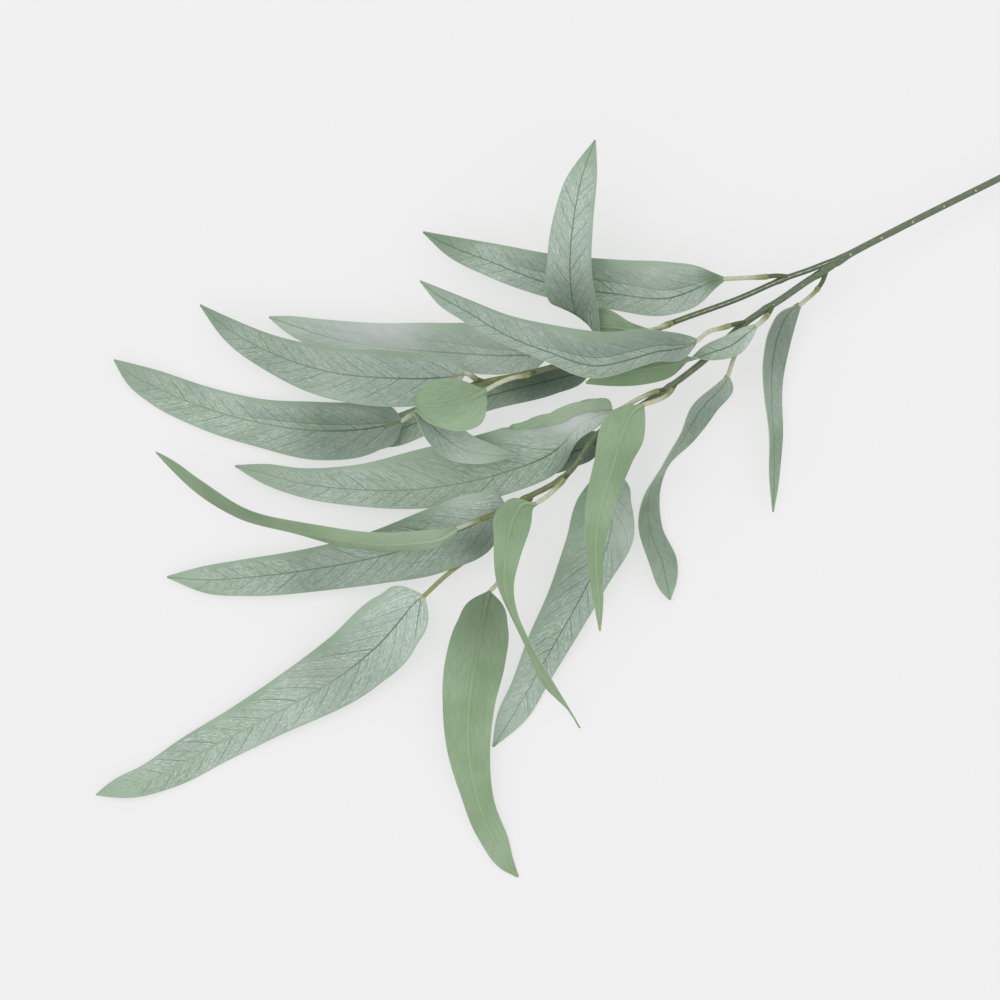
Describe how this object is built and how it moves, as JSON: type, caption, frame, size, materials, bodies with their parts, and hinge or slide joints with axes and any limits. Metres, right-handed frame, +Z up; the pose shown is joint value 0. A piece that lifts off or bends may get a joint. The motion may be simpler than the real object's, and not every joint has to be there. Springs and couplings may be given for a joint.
{
  "type": "willow branch",
  "caption": "Cut willow branch lying flat: a bare stem that forks into two thin branches with long, narrow, drooping leaves on short stalks.",
  "frame": {"origin": "middle of the branch's bounding box, on the surface that it lies on", "axes": "+X along the branch's longest side towards the cut end of the stem, +Y to the left of it seen from above, +Z up"},
  "size_m": [0.5868, 0.4182, 0.0488],
  "materials": {
    "stem": "satin",
    "leaf": "matt, printed with veins"
  },
  "bodies": {
    "root": {"leaf_01": "leaf", "leaf_02": "leaf", "leaf_03": "leaf", "leaf_04": "leaf", "leaf_05": "leaf", "leaf_06": "leaf", "leaf_07": "leaf", "leaf_08": "leaf", "leaf_09": "leaf", "leaf_10": "leaf", "leaf_11": "leaf", "leaf_12": "leaf", "leaf_13": "leaf", "leaf_14": "leaf", "leaf_15": "leaf", "leaf_16": "leaf", "leaf_17": "leaf", "leaf_18": "leaf", "leaf_19": "leaf", "leaf_20": "leaf", "lower_branch": "stem", "main_stem": "stem", "upper_branch": "stem"}
  },
  "joints": []
}
